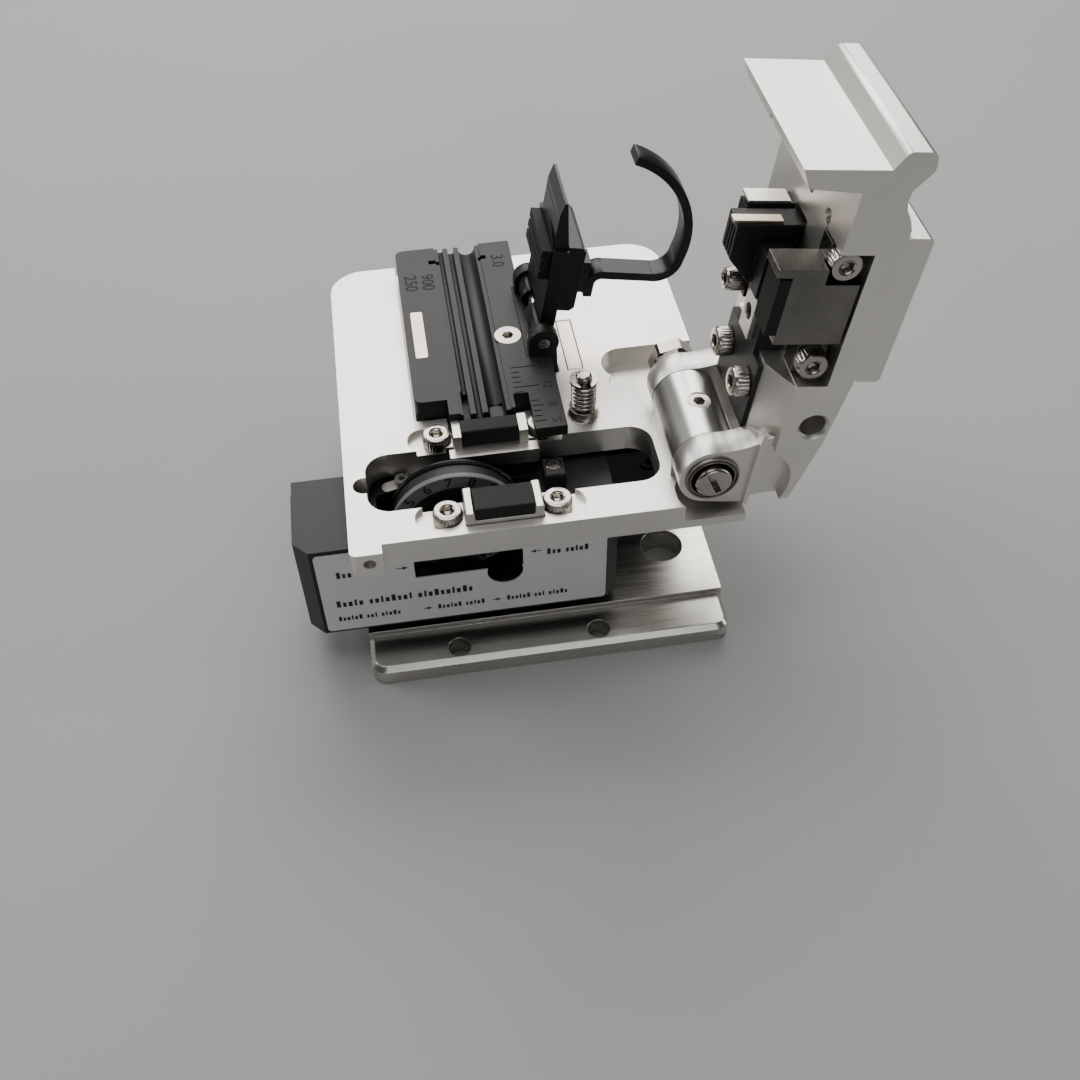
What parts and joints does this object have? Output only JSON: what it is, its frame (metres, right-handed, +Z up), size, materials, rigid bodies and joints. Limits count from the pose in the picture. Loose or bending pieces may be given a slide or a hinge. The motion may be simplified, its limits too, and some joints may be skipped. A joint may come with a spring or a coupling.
{
  "type": "optical fibre cleaver",
  "caption": "Bench fibre cleaver: metal base, sliding wheel-blade carriage, grooved fibre holder with lid and hook, and a hinged press arm.",
  "frame": {"origin": "centre of the base plate's flat underside", "axes": "+X to the right, away from the carriage end; +Y to the back, along the fibre; +Z up"},
  "size_m": [0.074, 0.0575, 0.0735],
  "materials": {
    "base_metal": "satin polished",
    "blasted_aluminium": "bead blasted",
    "turned_aluminium": "turned",
    "black_oxide": "black oxide, ground",
    "support_black": "black anodised, satin",
    "bearing_steel": "ground",
    "nickel_screws": "nickel plated, knurled",
    "black_screws": "black oxide",
    "pad_frame_metal": "satin",
    "black_rubber": "matte",
    "black_anodised": "black anodised, satin",
    "black_housing": "black, satin",
    "black_sheet": "black, smooth satin",
    "magnet_nickel": "nickel plated",
    "label": "printed foil",
    "dial_grey": "slate grey with black numbers",
    "blade_carbide": "ground carbide",
    "steel_jaw": "ground",
    "spring_wire": "drawn wire",
    "bush_bronze": "sintered"
  },
  "bodies": {
    "base": {"base_plate": "base_metal", "base_screws": "black_screws", "rear_support": "support_black", "linear_rail": "black_oxide", "rail_screws": "black_screws", "top_plate": "blasted_aluminium", "plate_screws": "black_screws", "plate_magnet": "magnet_nickel", "front_pad_frame": "pad_frame_metal", "front_pad_rubber": "black_rubber", "rear_pad_frame": "pad_frame_metal", "rear_pad_rubber": "black_rubber", "pad_screws": "nickel_screws", "fibre_holder": "black_anodised", "holder_magnet": "magnet_nickel", "holder_screw": "nickel_screws", "lid_bracket": "black_anodised", "lid_hinge_pin": "bearing_steel", "latch_collar": "nickel_screws", "latch_spring": "spring_wire", "hinge_barrel": "turned_aluminium", "barrel_screws": "black_screws", "barrel_set_screw": "nickel_screws", "hinge_axle": "nickel_screws", "hinge_nut": "nickel_screws"},
    "lid": {"lid_body": "black_sheet", "lid_steel_insert": "black_oxide", "lid_pressing_pad": "black_rubber", "lid_hook": "black_sheet"},
    "latch": {"latch_pin": "nickel_screws", "latch_clip": "nickel_screws"},
    "carriage": {"blade_carriage": "black_housing", "carriage_label": "label", "rail_bearing_block": "black_oxide", "bearing_block_screws": "black_screws", "index_block": "black_anodised", "detent_spring_leaf": "pad_frame_metal", "carriage_small_screws": "nickel_screws"},
    "blade": {"blade_clamp_nut": "nickel_screws", "blade_shaft": "black_oxide", "dial_ring": "dial_grey", "dial_disc": "black_anodised", "blade_disc": "blade_carbide"},
    "arm": {"arm_body": "blasted_aluminium", "hinge_bush_front": "bush_bronze", "hinge_bush_rear": "bush_bronze", "front_clamp_jaw": "steel_jaw", "front_clamp_screws": "nickel_screws", "front_clamp_rubber": "black_rubber", "rear_clamp_jaw": "black_anodised", "rear_clamp_screw": "nickel_screws", "rear_clamp_rubber": "black_rubber", "rear_clamp_cap": "pad_frame_metal", "anvil_guide": "black_anodised", "anvil_guide_screws": "nickel_screws", "anvil_adjuster": "pad_frame_metal", "finger_pad": "blasted_aluminium", "finger_pad_screws": "nickel_screws"},
    "anvil": {"anvil_block": "black_anodised", "anvil_leaf": "magnet_nickel"}
  },
  "joints": [
    {"name": "press_arm_hinge", "type": "hinge", "parent": "base", "child": "arm", "pos_m": [0.0205, -0.01425, 0.03], "axis": [0, -1, 0], "range_deg": [0, 100]},
    {"name": "holder_lid_hinge", "type": "hinge", "parent": "base", "child": "lid", "pos_m": [0.0036, 0.00955, 0.032], "axis": [0, -1, 0], "range_deg": [0, 100]},
    {"name": "blade_carriage_slide", "type": "slide", "parent": "base", "child": "carriage", "axis": [1, 0, 0], "range_m": [0, 0.01]},
    {"name": "blade_index_rotation", "type": "hinge", "parent": "carriage", "child": "blade", "pos_m": [-0.0112, -0.0163, 0.0208], "axis": [0, 1, 0], "continuous": true},
    {"name": "latch_pin_press", "type": "slide", "parent": "base", "child": "latch", "axis": [0, 0, -1], "range_m": [0, 0.0025], "stiffness_N_per_m": 400, "springref_m": -0.0012, "deforming": ["latch_spring"]},
    {"name": "anvil_press", "type": "slide", "parent": "arm", "child": "anvil", "axis": [0.992, 0, -0.1262], "range_m": [0, 0.0008], "stiffness_N_per_m": 500, "springref_m": -0.0008}
  ]
}
